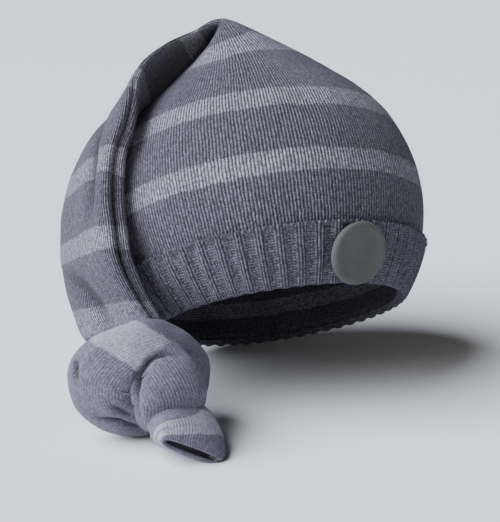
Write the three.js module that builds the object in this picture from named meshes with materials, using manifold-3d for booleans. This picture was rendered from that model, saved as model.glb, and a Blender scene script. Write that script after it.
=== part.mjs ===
// Knitted newborn nightcap: striped crown, turned-up ribbed cuff, long tail tied in a knot, large button.
// Millimetres, +Z up, the front of the cap towards -Y. The origin is the middle of the rim opening.
import * as THREE from "three";
import Module from "manifold-3d";

// Driving sizes
const crownRadius = 62.4; // outside of the crown on a newborn's head, 392 mm round
const wallThickness = 2.0; // knitted fabric
const clearance = 0.3; // gap kept between neighbouring pieces
const crownTilt = 29.1; // degrees that the crown leans back
const tailTurn = 17.3; // degrees from the cap's front to the direction that the tail sections are set out in
const rimLatitude = -40.5; // degrees below the crown's widest ring
const cuffTopLatitude = -20.5;
const cuffThickness = 1.3;
const ribCount = 52;
const ribRelief = 0.6;
const tailThickness = 9.6; // two layers of knit with their edges tucked in
const tailGroove = 5.0; // depth of the tuck along the front edge
const tailWedge = 0.2; // share by which the tail is thicker at its tucked edge and thinner at its back
const knotStrandWidth = 21;
const knotStrandThickness = 12.5;
const knotSize = 20; // from the middle of the knot to the outside of its loops
const endWidth = 22;
const endThickness = 9;
const buttonDiameter = 22.5;
const buttonThickness = 3.0;
const buttonLongitude = 14; // degrees to the right of the front
const buttonLatitude = -30;

// Mesh fineness
const crownSides = 48;
const tailSides = 28;
const strandSides = 20;
const ringsPerSpan = 2;
const endRingsPerSpan = 3;
const buttonSides = 24;

const toRadians = THREE.MathUtils.degToRad;
const vec = (x, y, z) => new THREE.Vector3(x, y, z);
const mix = (from, to, share) => from.clone().lerp(to, share);

// Frame of the crown: its axis, its front and its right side
const crownAxis = vec(0, Math.sin(toRadians(crownTilt)), Math.cos(toRadians(crownTilt)));
const crownFront = vec(0, -Math.cos(toRadians(crownTilt)), Math.sin(toRadians(crownTilt)));
const crownRight = vec(1, 0, 0);
const rimDepth = -crownRadius * Math.sin(toRadians(rimLatitude));
const headCentre = crownAxis.clone().multiplyScalar(rimDepth);

// A point on a ball about the head's centre, by degrees up from its widest ring and round from the front
function ballPoint(radius, latitude, longitude) {
  const up = toRadians(latitude);
  const round = toRadians(longitude);
  const point = crownAxis.clone().multiplyScalar(radius * Math.sin(up));
  point.addScaledVector(crownFront, radius * Math.cos(up) * Math.cos(round));
  point.addScaledVector(crownRight, radius * Math.cos(up) * Math.sin(round));
  return point;
}

// A direction or place given in the tail's own heading, turned into the cap's frame
function headed(x, y, z) {
  return vec(x, y, z).applyAxisAngle(vec(0, 0, 1), toRadians(-tailTurn));
}

// A place about the head's centre in the tail's heading, given in shares of the crown's radius
function placed([x, y, z]) {
  return headed(x, y, z).multiplyScalar(crownRadius);
}

// Catmull-Rom curve through a list of points, sampled a few times between each pair
function threaded(points, perSpan) {
  const curve = new THREE.CatmullRomCurve3(points, false, "centripetal");
  const steps = (points.length - 1) * perSpan;
  return Array.from({ length: steps + 1 }, (_, i) => curve.getPoint(i / steps));
}

// Smooth run of plain numbers, stepped like threaded()
function eased(values, perSpan) {
  const line = threaded(values.map((value, i) => vec(i, value, 0)), perSpan);
  return line.map((point) => point.y);
}

// A closed section whose half axes are two vectors, squarer as squareness grows above 2,
// with an optional tuck that pushes the first edge in between its two ridges,
// and an optional wedge that thickens the half of the first edge
function section(middle, forward, outward, bow, squareness, tuck, sides, wedge = 0) {
  const ring = [];
  for (let i = 0; i < sides; i += 1) {
    const angle = (2 * Math.PI * i) / sides;
    const along = Math.sign(Math.cos(angle)) * Math.abs(Math.cos(angle)) ** (2 / squareness);
    const across = Math.sign(Math.sin(angle)) * Math.abs(Math.sin(angle)) ** (2 / squareness);
    const dent = along > 0 ? tuck * Math.exp(-((across / 0.42) ** 2)) : 0;
    const point = middle.clone();
    point.addScaledVector(forward, along - dent / forward.length());
    point.addScaledVector(outward, across * (1 + wedge * along));
    point.addScaledVector(bow, along * along - across * across);
    ring.push(point);
  }
  return ring;
}

// Geometry of a skin laid over rings of equal count, its two ends closed by fans,
// or its last ring joined to its first
function skinOver(rings, joined = false) {
  const sides = rings[0].length;
  const positions = rings.flatMap((ring) => ring.flatMap((point) => point.toArray()));
  const faces = [];
  const spans = joined ? rings.length : rings.length - 1;
  for (let k = 0; k < spans; k += 1) {
    const next = (k + 1) % rings.length;
    for (let i = 0; i < sides; i += 1) {
      const j = (i + 1) % sides;
      const [a, b, c, d] = [k * sides + i, k * sides + j, next * sides + j, next * sides + i];
      faces.push(a, b, c, a, c, d);
    }
  }
  if (!joined) {
    for (const end of [0, rings.length - 1]) {
      const middle = positions.length / 3;
      positions.push(...middleOf(rings[end]).toArray());
      for (let i = 0; i < sides; i += 1) {
        const pair = [end * sides + i, end * sides + ((i + 1) % sides)];
        faces.push(middle, ...(end === 0 ? pair.reverse() : pair));
      }
    }
  }
  const geometry = new THREE.BufferGeometry();
  geometry.setAttribute("position", new THREE.Float32BufferAttribute(positions, 3));
  geometry.setIndex(enclosedVolume(positions, faces) < 0 ? faces.reverse() : faces);
  return geometry;
}

function middleOf(ring) {
  return ring.reduce((sum, point) => sum.add(point), vec(0, 0, 0)).divideScalar(ring.length);
}

function enclosedVolume(positions, faces) {
  const corner = (index) => vec(...positions.slice(3 * index, 3 * index + 3));
  let total = 0;
  for (let f = 0; f < faces.length; f += 3) {
    total += corner(faces[f]).dot(corner(faces[f + 1]).cross(corner(faces[f + 2]))) / 6;
  }
  return total;
}

// The same rings moved in along their own surface normal, for the inside of a knitted wall
function linedBy(rings, thickness) {
  return rings.map((ring, k) => {
    const before = rings[Math.max(k - 1, 0)];
    const after = rings[Math.min(k + 1, rings.length - 1)];
    return ring.map((point, i) => {
      const sides = ring.length;
      const round = ring[(i + 1) % sides].clone().sub(ring[(i + sides - 1) % sides]);
      const along = after[i].clone().sub(before[i]);
      return point.clone().addScaledVector(round.cross(along).normalize(), -thickness);
    });
  });
}

// Crown

// Quarter lines of the crown above its ball, at its front, outer side, back and inner side:
// where each leaves the ball, how far it then runs straight on in shares of the crown's radius,
// and which edge of the folded peak it bends into
const drawLatitude = 27;
const peakFront = placed([-0.27, 0.03, 1.2]);
const peakBack = placed([-0.29, 0.64, 1.15]);
const peakMiddle = mix(peakFront, peakBack, 0.5);
const peakRise = vec(0, 0, 0.2 * tailThickness);
const quarterLines = [
  { longitude: 0, leaves: 31, straight: 0.42, end: peakFront },
  { longitude: 90, leaves: 46, straight: 0.5, end: peakMiddle.clone().add(peakRise) },
  { longitude: 180, leaves: 45, straight: 0.4, end: peakBack },
  { longitude: 270, leaves: 56, straight: 0.36, end: peakMiddle.clone().sub(peakRise) },
];

function climbFrom(latitude, longitude) {
  const above = ballPoint(crownRadius, latitude + 0.5, longitude);
  return above.sub(ballPoint(crownRadius, latitude, longitude)).normalize();
}

function quarterCurve({ longitude, leaves, straight, end }) {
  const around = longitude - tailTurn;
  const start = ballPoint(crownRadius, drawLatitude, around);
  const leave = ballPoint(crownRadius, leaves, around);
  const bulge = crownRadius * Math.tan(toRadians((leaves - drawLatitude) / 2));
  const path = new THREE.CurvePath();
  const shoulder = start.clone().addScaledVector(climbFrom(drawLatitude, around), bulge);
  path.add(new THREE.QuadraticBezierCurve3(start, shoulder, leave));
  const corner = leave.clone().addScaledVector(climbFrom(leaves, around), straight * crownRadius);
  path.add(new THREE.QuadraticBezierCurve3(leave, corner, end));
  return path;
}

function crownRings() {
  const rings = [];
  for (const latitude of [rimLatitude + 1.6, -30, cuffTopLatitude, -11, -2, 7, 15, 21.5]) {
    const quarters = [0, 90, 180, 270].map((turn) => ballPoint(crownRadius, latitude, turn - tailTurn));
    rings.push(fromQuarters(quarters, 2));
  }
  const curves = quarterLines.map(quarterCurve);
  for (const share of [0, 0.14, 0.28, 0.42, 0.56, 0.69, 0.81, 0.92, 1]) {
    rings.push(fromQuarters(curves.map((curve) => curve.getPoint(share)), 2 + 1.5 * share ** 3));
  }
  return rings;
}

// A ring through four points: front, outer side, back and inner side
function fromQuarters([front, outer, back, inner], squareness) {
  const middle = front.clone().add(outer).add(back).add(inner).divideScalar(4);
  const forward = front.clone().sub(back).divideScalar(2);
  const outward = outer.clone().sub(inner).divideScalar(2);
  const bow = front.clone().add(back).sub(outer).sub(inner).divideScalar(4);
  return section(middle, forward, outward, bow, squareness, 0, crownSides);
}

function crown() {
  const outside = crownRings();
  const inside = linedBy(outside, wallThickness).slice(0, -3);
  return skinOver([...inside.reverse(), ...outside]);
}

// Cuff

const ledgeRise = 1.1; // degrees from the rim to the fold's ledge under the crown's edge

// Rows of the turned-up cuff's outline, as latitude and height off the crown's outside
const cuffRows = [
  { latitude: cuffTopLatitude, height: clearance, ribbed: 0 },
  { latitude: cuffTopLatitude + 0.5, height: clearance + 1.2, ribbed: 0 },
  { latitude: cuffTopLatitude - 0.6, height: clearance + cuffThickness + 0.3, ribbed: 0.3 },
  { latitude: cuffTopLatitude - 2, height: clearance + cuffThickness, ribbed: 1 },
  { latitude: -30, height: clearance + cuffThickness, ribbed: 1 },
  { latitude: rimLatitude + 1.4, height: clearance + cuffThickness, ribbed: 1 },
  { latitude: rimLatitude - 0.4, height: 0.9, ribbed: 0.5 },
  { latitude: rimLatitude - 0.2, height: -wallThickness, ribbed: 0 },
  { latitude: rimLatitude + ledgeRise, height: -wallThickness, ribbed: 0 },
  { latitude: rimLatitude + ledgeRise, height: clearance, ribbed: 0 },
  { latitude: -30, height: clearance, ribbed: 0 },
];
const ribSteps = [0, 1, 1]; // one rib: a sunken line of purl and a raised band of knit

function cuff() {
  const sides = ribCount * ribSteps.length;
  const rings = cuffRows.map((row) => Array.from({ length: sides }, (_, i) => {
    const relief = ribRelief * (ribSteps[i % ribSteps.length] - 0.5) * row.ribbed;
    const longitude = (360 * (i + 0.5)) / sides;
    return ballPoint(crownRadius + row.height + relief, row.latitude, longitude);
  }));
  return skinOver(rings, true);
}

// Tail

// Sections of the tail from the peak down to the knot: its front edge and back edge about the
// head's centre in shares of the crown's radius, and its share of the full thickness and tuck
const tailSections = [
  { front: [-0.28, 0.03, 1.2], back: [-0.3, 0.64, 1.15], thick: 0.4, tuck: 0 },
  { front: [-0.43, -0.02, 1.13], back: [-0.415, 0.6, 0.985], thick: 0.42, tuck: 0 },
  { front: [-0.58, -0.09, 1.07], back: [-0.53, 0.53, 0.83], thick: 0.42, tuck: 0 },
  { front: [-0.68, -0.17, 1], back: [-0.65, 0.46, 0.7], thick: 0.45, tuck: 0 },
  { front: [-0.755, -0.27, 0.89], back: [-0.77, 0.39, 0.61], thick: 0.5, tuck: 0.1 },
  { front: [-0.765, -0.42, 0.77], back: [-0.925, 0.29, 0.55], thick: 0.7, tuck: 0.35 },
  { front: [-0.785, -0.545, 0.64], back: [-1.05, 0.2, 0.46], thick: 0.92, tuck: 0.8 },
  { front: [-0.835, -0.595, 0.49], back: [-1.13, 0.11, 0.335], thick: 1, tuck: 1 },
  { front: [-0.845, -0.66, 0.345], back: [-1.195, 0, 0.17], thick: 1.08, tuck: 1 },
  { front: [-0.84, -0.725, 0.22], back: [-1.22, -0.09, 0.03], thick: 1.12, tuck: 1 },
  { front: [-0.815, -0.83, 0.1], back: [-1.22, -0.21, -0.1], thick: 1.12, tuck: 1 },
  { front: [-0.79, -0.9, -0.035], back: [-1.21, -0.3, -0.24], thick: 1.12, tuck: 1 },
  { front: [-0.735, -0.98, -0.155], back: [-1.17, -0.42, -0.36], thick: 1.1, tuck: 1 },
  { front: [-0.655, -1.06, -0.28], back: [-1.11, -0.58, -0.48], thick: 1.05, tuck: 0.9 },
  { front: [-0.58, -1.12, -0.39], back: [-1, -0.82, -0.58], thick: 1.1, tuck: 0.6 },
  { front: [-0.6, -1.2, -0.52], back: [-0.8, -1.06, -0.58], thick: 1.1, tuck: 0.2 },
];

// Direction of a line of points at one of them
function runAt(line, k) {
  return line[Math.min(k + 1, line.length - 1)].clone().sub(line[Math.max(k - 1, 0)]).normalize();
}

function tailRings() {
  const fronts = threaded(tailSections.map((row) => placed(row.front)), ringsPerSpan);
  const backs = threaded(tailSections.map((row) => placed(row.back)), ringsPerSpan);
  const thicks = eased(tailSections.map((row) => row.thick), ringsPerSpan);
  const tucks = eased(tailSections.map((row) => row.tuck), ringsPerSpan);
  const middles = fronts.map((front, k) => mix(front, backs[k], 0.5));
  return middles.map((middle, k) => {
    const forward = fronts[k].clone().sub(middle);
    const run = k === 0 ? headed(-1, 0, 0) : runAt(middles, k);
    const outward = forward.clone().cross(run).normalize().multiplyScalar(0.5 * tailThickness * thicks[k]);
    const groove = tailGroove * tucks[k];
    return section(middle, forward, outward, vec(0, 0, 0), 3.4, groove, tailSides, tailWedge * tucks[k]);
  });
}

// Knot

const knotMiddle = placed([-0.695, -1.24, -0.655]);

// The strand's way through the overhand knot, about the knot's middle in shares of its size,
// with the way its flat side faces and its shares of width and thickness
const knotWay = [
  { at: [-0.2, 0.5, 0.6], face: [0, -1, 0.3], wide: 0.95, thick: 1.1 },
  { at: [0.14, 0.12, 0.3], face: [0.1, -1, 0.3], wide: 0.95, thick: 1.1 },
  { at: [0.42, -0.4, 0.18], face: [0.2, -0.95, 0.3], wide: 1.12, thick: 1.15 },
  { at: [0.6, -0.6, -0.08], face: [0.35, -0.95, 0.1], wide: 1.18, thick: 1.2 },
  { at: [0.54, -0.44, -0.4], face: [0.2, -0.8, -0.5], wide: 1.05, thick: 1.1 },
  { at: [0.5, 0.05, -0.52], face: [0, -0.2, -1], wide: 0.95, thick: 1.1 },
  { at: [0.68, 0.4, -0.38], face: [0.6, 0.7, -0.4], wide: 0.95, thick: 1.1 },
  { at: [0.74, 0.52, 0.05], face: [0.7, 0.7, 0], wide: 1.05, thick: 1.2 },
  { at: [0.62, 0.3, 0.45], face: [0.6, 0.3, 0.7], wide: 1.05, thick: 1.1 },
  { at: [0.36, -0.14, 0.58], face: [0.3, -0.65, 0.75], wide: 1.04, thick: 1.05 },
  { at: [-0.12, -0.38, 0.5], face: [-0.15, -0.85, 0.5], wide: 1.05, thick: 1.05 },
  { at: [-0.46, -0.44, 0.22], face: [-0.32, -0.95, 0.1], wide: 1.18, thick: 1.15 },
  { at: [-0.46, -0.42, -0.1], face: [-0.34, -0.93, -0.1], wide: 1.14, thick: 1.2 },
  { at: [-0.24, -0.36, -0.36], face: [-0.2, -0.9, -0.4], wide: 1.04, thick: 1.15 },
  { at: [0.26, -0.26, -0.46], face: [0.1, -0.85, -0.5], wide: 0.95, thick: 0.95 },
];
const knotRuns = [[0, 5], [4, 8], [7, 11], [10, 14]]; // stretches of the way that don't touch themselves
const knotCore = 0.72; // the tightly drawn middle of the knot, as a share of its size

function strandRings(way, extra) {
  const place = (share) => headed(...share).multiplyScalar(knotSize);
  const middles = threaded(way.map((row) => place(row.at)), ringsPerSpan);
  const faces = threaded(way.map((row) => headed(...row.face)), ringsPerSpan);
  const wides = eased(way.map((row) => row.wide), ringsPerSpan);
  const thicks = eased(way.map((row) => row.thick), ringsPerSpan);
  return middles.map((middle, k) => {
    const run = runAt(middles, k);
    const outward = faces[k].clone().addScaledVector(run, -faces[k].dot(run)).normalize();
    const forward = run.clone().cross(outward);
    outward.multiplyScalar((knotStrandThickness * thicks[k]) / 2 + extra);
    forward.multiplyScalar((knotStrandWidth * wides[k]) / 2 + extra);
    const overrun = k === 0 ? -extra : Math.max(k + 2 - middles.length, 0) * extra;
    const centre = middle.clone().addScaledVector(run, overrun);
    return section(centre, forward, outward, vec(0, 0, 0), 2.4, 0, strandSides);
  });
}

const wasm = await Module();
wasm.setup();

function toSolid(geometry) {
  const vertProperties = new Float32Array(geometry.attributes.position.array);
  const triVerts = new Uint32Array(geometry.index.array);
  return new wasm.Manifold(new wasm.Mesh({ numProp: 3, vertProperties, triVerts }));
}

function toGeometry(solid) {
  const mesh = solid.getMesh();
  const geometry = new THREE.BufferGeometry();
  geometry.setAttribute("position", new THREE.Float32BufferAttribute(mesh.vertProperties, 3));
  geometry.setIndex(Array.from(mesh.triVerts));
  return geometry;
}

// The largest single body of a cut solid
function mainBody(solid) {
  return solid.decompose().sort((one, other) => other.volume() - one.volume())[0];
}

function knotSolid(extra) {
  const runs = knotRuns.map(([first, last]) => {
    return toSolid(skinOver(strandRings(knotWay.slice(first, last + 1), extra)));
  });
  const core = toSolid(ballSkin(knotCore * knotSize + extra));
  const whole = runs.reduce((sum, run) => sum.add(run), core);
  return whole.translate(knotMiddle.toArray());
}

// Geometry of a plain ball about the middle, with single points at its poles
function ballSkin(radius) {
  const levels = [-75, -50, -25, 0, 25, 50, 75].map(toRadians);
  return skinOver(levels.map((level) => {
    const middle = vec(0, 0, radius * Math.sin(level));
    const reach = radius * Math.cos(level);
    return section(middle, vec(reach, 0, 0), vec(0, reach, 0), vec(0, 0, 0), 2, 0, strandSides);
  }));
}

function knot() {
  return toGeometry(mainBody(knotSolid(0)));
}

function tail() {
  const whole = toSolid(skinOver(tailRings()));
  return toGeometry(mainBody(whole.subtract(knotSolid(clearance))));
}

// Tail end

// Sections of the short end past the knot, about the knot's middle in shares of its size:
// middle, heading of its right edge, shares of width, thickness and tuck
const endSections = [
  { middle: [0.5, -0.42, -0.36], edge: [0.95, -0.1, -0.15], wide: 0.78, thick: 1.4, tuck: 0 },
  { middle: [0.75, -0.72, -0.48], edge: [0.9, -0.15, -0.3], wide: 0.98, thick: 1.6, tuck: 0.7 },
  { middle: [0.9, -1, -0.6], edge: [0.82, -0.25, -0.45], wide: 1.14, thick: 1.5, tuck: 1 },
  { middle: [0.97, -1.22, -0.67], edge: [0.8, -0.25, -0.5], wide: 1.12, thick: 1.1, tuck: 0.9 },
  { middle: [0.99, -1.37, -0.71], edge: [0.8, -0.25, -0.5], wide: 1, thick: 0.6, tuck: 0.5 },
];
const endTuck = 4; // depth of the fold along its right edge
const slitDepth = 5; // how far the open mouth between its two layers goes in
const lipThickness = 1.7;

function endRings(inset) {
  const place = (share) => headed(...share).multiplyScalar(knotSize).add(knotMiddle);
  const middles = threaded(endSections.map((row) => place(row.middle)), endRingsPerSpan);
  const edges = threaded(endSections.map((row) => headed(...row.edge)), endRingsPerSpan);
  const wides = eased(endSections.map((row) => row.wide), endRingsPerSpan);
  const thicks = eased(endSections.map((row) => row.thick), endRingsPerSpan);
  const tucks = eased(endSections.map((row) => row.tuck), endRingsPerSpan);
  return middles.map((middle, k) => {
    const run = runAt(middles, k);
    const forward = edges[k].clone().addScaledVector(run, -edges[k].dot(run)).normalize();
    const outward = forward.clone().cross(run);
    forward.multiplyScalar((endWidth * wides[k]) / 2 - inset);
    outward.multiplyScalar((endThickness * thicks[k]) / 2 - inset);
    return section(middle, forward, outward, vec(0, 0, 0), 2.6, endTuck * tucks[k], strandSides);
  });
}

function tailEnd() {
  const outside = endRings(0);
  const lip = endRings(lipThickness).pop();
  const inward = runAt(outside.map(middleOf), outside.length - 1).multiplyScalar(-slitDepth);
  const slitFloor = lip.map((point) => point.clone().add(inward));
  const whole = toSolid(skinOver([...outside, lip, slitFloor]));
  return toGeometry(mainBody(whole.subtract(knotSolid(clearance))));
}

// Button

// Outline of the button from the middle of its back round its edge to the middle of its face,
// as shares of its radius and thickness
const buttonProfile = [
  { out: 0, up: 0 },
  { out: 0.86, up: 0 },
  { out: 0.97, up: 0.25 },
  { out: 1, up: 0.5 },
  { out: 0.96, up: 0.8 },
  { out: 0.86, up: 1 },
  { out: 0.7, up: 0.98 },
  { out: 0, up: 0.86 },
];

function button() {
  const seat = crownRadius + clearance + cuffThickness + ribRelief / 2 + clearance;
  const radius = buttonDiameter / 2;
  const outline = buttonProfile.map((row) => new THREE.Vector2(row.out * radius, row.up * buttonThickness));
  const geometry = new THREE.LatheGeometry(outline, buttonSides);
  geometry.rotateX(Math.PI / 2);
  const facing = ballPoint(1, buttonLatitude, buttonLongitude);
  const turn = new THREE.Quaternion().setFromUnitVectors(vec(0, 0, 1), facing);
  geometry.applyQuaternion(turn);
  geometry.translate(...facing.multiplyScalar(seat).toArray());
  return geometry;
}

// Assembly

const heatherGrey = new THREE.Color(0x6a6877);
const lightGrey = new THREE.Color(0x7d7b88);
const buttonGrey = new THREE.Color(0x4e504e);

const pieces = [
  { name: "crown", geometry: crown(), colour: heatherGrey, roughness: 0.95 },
  { name: "cuff", geometry: cuff(), colour: heatherGrey, roughness: 0.95 },
  { name: "tail", geometry: tail(), colour: lightGrey, roughness: 0.95 },
  { name: "knot", geometry: knot(), colour: heatherGrey, roughness: 0.95 },
  { name: "tail_end", geometry: tailEnd(), colour: lightGrey, roughness: 0.95 },
  { name: "button", geometry: button(), colour: buttonGrey, roughness: 0.8 },
];

const nightcap = new THREE.Group();
nightcap.name = "nightcap";
for (const { name, geometry, colour, roughness } of pieces) {
  geometry.translate(...headCentre.toArray());
  const material = new THREE.MeshStandardMaterial({ color: colour, roughness, metalness: 0 });
  const mesh = new THREE.Mesh(geometry, material);
  mesh.name = name;
  nightcap.add(mesh);
}

export default nightcap;
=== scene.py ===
import math
import bpy
import numpy as np
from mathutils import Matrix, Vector, noise


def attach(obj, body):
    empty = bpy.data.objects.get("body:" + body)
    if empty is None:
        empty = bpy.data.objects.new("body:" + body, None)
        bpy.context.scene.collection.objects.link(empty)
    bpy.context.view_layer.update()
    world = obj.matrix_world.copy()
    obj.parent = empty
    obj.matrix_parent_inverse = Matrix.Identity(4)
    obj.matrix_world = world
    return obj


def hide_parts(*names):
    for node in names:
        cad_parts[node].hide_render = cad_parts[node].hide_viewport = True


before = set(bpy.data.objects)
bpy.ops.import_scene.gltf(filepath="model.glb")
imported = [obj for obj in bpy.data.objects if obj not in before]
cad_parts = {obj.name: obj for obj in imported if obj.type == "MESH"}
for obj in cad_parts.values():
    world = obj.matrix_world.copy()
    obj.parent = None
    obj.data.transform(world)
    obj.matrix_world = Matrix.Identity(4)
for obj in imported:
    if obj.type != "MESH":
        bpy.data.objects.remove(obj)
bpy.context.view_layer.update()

print("frame loaded")

# The cap's own sizes, in millimetres and degrees; the crown's centre is the middle of the forms
cap = {
    "crownRadius": 62.4,
    "crownTilt": 29.1,
    "tailTurn": 17.3,
    "rimLatitude": -40.5,
    "cuffTopLatitude": -20.5,
    "clearance": 0.3,
    "wall": 2.0,
    "floorDrop": 60.0,  # from the crown's centre down to the floor
}
ballSize = cap["crownRadius"]
tilt = math.radians(cap["crownTilt"])
crownAxis = np.array([0, math.sin(tilt), math.cos(tilt)])
crownFront = np.array([0, -math.cos(tilt), math.sin(tilt)])
crownRight = np.array([1.0, 0.0, 0.0])
crownCentre = -crownAxis * ballSize * math.sin(math.radians(cap["rimLatitude"]))


def unit(vectors):
    return vectors / np.maximum(np.linalg.norm(vectors, axis=-1, keepdims=True), 1e-9)


def ballPoint(radius, latitude, longitude):
    up, around = np.radians(latitude), np.radians(longitude)
    up, around = np.broadcast_arrays(up, around)
    out = np.sin(up)[..., None] * crownAxis
    out = out + (np.cos(up) * np.cos(around))[..., None] * crownFront
    out = out + (np.cos(up) * np.sin(around))[..., None] * crownRight
    return out * np.asarray(radius)[..., None]


# From the tail's own heading into the cap's frame
def headed(points):
    x, y, z = np.moveaxis(np.asarray(points, float), -1, 0)
    c, s = math.cos(math.radians(cap["tailTurn"])), math.sin(math.radians(cap["tailTurn"]))
    return np.stack([x * c + y * s, y * c - x * s, z], axis=-1)


def placed(points):
    return headed(points) * ballSize


# A smooth curve through points, read at stations counted in points from the first
def threaded(points, stations):
    points = np.asarray(points, float)
    if points.ndim == 1:
        rows = np.stack([np.arange(len(points)), points, points * 0], axis=-1)
        return threaded(rows, stations)[:, 1]
    ends = np.array([2 * points[0] - points[1], *points, 2 * points[-1] - points[-2]])
    out = []
    for station in stations:
        k = min(int(station), len(points) - 2)
        t = station - k
        a, b, c, d = ends[k:k + 4]
        near, here, far = (max(np.linalg.norm(q - p), 1e-4) ** 0.5 for p, q in ((a, b), (b, c), (c, d)))
        leave = ((b - a) / near - (c - a) / (near + here) + (c - b) / here) * here
        arrive = ((c - b) / here - (d - b) / (here + far) + (d - c) / far) * here
        out.append(b + leave * t + (3 * (c - b) - 2 * leave - arrive) * t ** 2
                   + (2 * (b - c) + leave + arrive) * t ** 3)
    return np.array(out)


# How a closed section of the cloth is drawn before it is read at even steps
outline = {
    "steps": 1440,
    "tuckReach": 0.5,       # share of the thickness that a tuck opens over, leaving two plump rolls
    "tuckSteepest": 0.985,  # where the sides of the groove stop getting steeper
}


# A closed section of even steps round, starting at its front edge; a tuck draws that edge in
def section(middle, forward, outward, bow, squareness, tuck, sides, wedge=0):
    angle = np.linspace(0, 2 * np.pi, outline["steps"] + 1)
    along = np.sign(np.cos(angle)) * np.abs(np.cos(angle)) ** (2 / squareness)
    across = np.sign(np.sin(angle)) * np.abs(np.sin(angle)) ** (2 / squareness)
    inward = np.clip(1 - np.abs(across) / outline["tuckReach"], 0, 1)
    lobe = 1 - np.sqrt(1 - np.minimum(inward, outline["tuckSteepest"]) ** 2)
    dent = np.where(along > 0, tuck * lobe, 0) / np.linalg.norm(forward)
    ring = middle + np.outer(along - dent, forward) + np.outer(across * (1 + wedge * along), outward)
    ring = ring + np.outer(along ** 2 - across ** 2, bow)
    reach = np.concatenate([[0], np.cumsum(np.linalg.norm(np.diff(ring, axis=0), axis=1))])
    places = np.linspace(0, reach[-1], sides + 1)[:-1]
    return np.stack([np.interp(places, reach, ring[:, i]) for i in range(3)], axis=-1)


def runOf(line):
    return unit(np.gradient(line, axis=0))


# Outward normals of a grid of rings, each ring closed
def gridNormals(grid):
    aroundRing = np.roll(grid, -1, axis=1) - np.roll(grid, 1, axis=1)
    return unit(np.cross(aroundRing, np.gradient(grid, axis=0)))


def ringLengths(grid):
    return np.linalg.norm(np.roll(grid, -1, axis=1) - grid, axis=2).sum(axis=1)


def closedEnds(grid):
    first, last = (np.tile(ring.mean(axis=0), (grid.shape[1], 1)) for ring in (grid[0], grid[-1]))
    return np.concatenate([[first], grid, [last]])


# Each end's row of values once more, to go with closed ends
def paddedEnds(values):
    return np.concatenate([values[:1], values, values[-1:]])


def evenCourses(grid):
    steps = np.linalg.norm(np.diff(grid, axis=0), axis=2).mean(axis=1)
    return np.concatenate([[0], np.cumsum(steps)])


# 1 at a ring's front edge, -1 at its back, with the first step given once more at the end
def frontShare(sides):
    return np.cos(np.arange(sides + 1) * 2 * np.pi / sides)


# Soft unevenness of handled cloth, from waves of a height and a size in millimetres and a seed
def unevenness(points, waves):
    lift = np.zeros(points.shape[:-1])
    for height, size, seed in waves:
        shift = Vector((seed * 17.3, seed * 5.1, seed * 9.7))
        values = [noise.noise(Vector(p) + shift) for p in (points.reshape(-1, 3) / size).tolist()]
        lift = lift + height * np.array(values).reshape(lift.shape)
    return lift


# How creases and folds are laid on the cloth
creasing = {
    "pitch": 13.5,        # degrees down that the plane they are drawn in is looked at
    "turnBlend": 0.4,     # they fade over this much of the cloth's turning away
    "endShare": 0.03,     # of the length, where an end's fading stops
    # the shade in a crease is painted into the colour
    "shadeShare": 0.7,    # width of a crease's shade against the crease
}


# Each crease is a line in the plane that faces a viewer in front and a little above, as right and up
# about a middle in shares of a size, with its half width in millimetres and how far the cloth stands
# out there, or sinks in where it is below zero. Only cloth turned towards the viewer by more than a
# least share takes part. Also gives, from 0 to 1, how much painted shade each point gets down in a
# crease that sinks in
def creased(grid, middle, size, creases, leastTurn):
    pitch = math.radians(creasing["pitch"])
    right = headed((1, 0, 0))
    up = headed((0, math.sin(pitch), math.cos(pitch)))
    toward = headed((0, -math.cos(pitch), math.sin(pitch)))
    normals = gridNormals(grid)
    across, upward = (grid - middle) @ right / size, (grid - middle) @ up / size
    faces = np.clip((normals @ toward - leastTurn) / creasing["turnBlend"], 0, 1)
    lift, creaseShadeMask = np.zeros(across.shape), np.zeros(across.shape)
    for crease in creases:
        line = np.array(crease["line"], float)
        nearest = np.full(across.shape, 99.0)
        taper = np.zeros(across.shape)
        lengths = np.linalg.norm(np.diff(line, axis=0), axis=1)
        begin = np.concatenate([[0], np.cumsum(lengths)])
        for a, b, reach in zip(line[:-1], line[1:], begin):
            span = b - a
            t = np.clip(((across - a[0]) * span[0] + (upward - a[1]) * span[1]) / (span @ span), 0, 1)
            gap = np.hypot(across - a[0] - t * span[0], upward - a[1] - t * span[1])
            here = (reach + t * np.linalg.norm(span)) / begin[-1]
            taper = np.where(gap < nearest, here, taper)
            nearest = np.minimum(gap, nearest)
        fade = np.sin(np.pi * np.clip(taper, creasing["endShare"], 1 - creasing["endShare"])) ** 0.5
        away = nearest * size / crease["width"]
        lift += crease["height"] * fade * np.exp(-(away ** 2))
        if crease["height"] < 0:
            # painted shade down in a crease that sinks in
            creaseShadeMask = np.maximum(creaseShadeMask, fade * faces * np.exp(-((away / creasing["shadeShare"]) ** 2)))
    return grid + normals * (lift * faces)[..., None], creaseShadeMask


# Quads of a grid of closed rings, with stitch coordinates counted in wales and courses
def gridSkin(grid, wales, courses, creaseShadeMask=0):
    rows, sides = grid.shape[:2]
    k, i = np.meshgrid(np.arange(rows - 1), np.arange(sides), indexing="ij")
    j = (i + 1) % sides
    quads = np.stack([k * sides + i, k * sides + j, (k + 1) * sides + j, (k + 1) * sides + i], axis=-1)
    perStep = np.broadcast_to(np.asarray(wales, float), rows)[k] / sides
    u = np.stack([i * perStep, (i + 1) * perStep, (i + 1) * perStep, i * perStep], axis=-1)
    course = np.asarray(courses, float)
    if course.ndim == 1:
        course = np.repeat(course[:, None], sides + 1, axis=1)
    v = np.stack([course[k, i], course[k, i + 1], course[k + 1, i + 1], course[k + 1, i]], axis=-1)
    return {
        "points": grid.reshape(-1, 3),
        "faces": quads.reshape(-1, 4),
        "stitch": np.stack([u, v], axis=-1).reshape(-1, 4, 2),
        "creaseShadeMask": np.broadcast_to(creaseShadeMask, grid.shape[:2]).ravel(),
        "slot": np.zeros(quads.shape[0] * quads.shape[1], int),
    }


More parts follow.
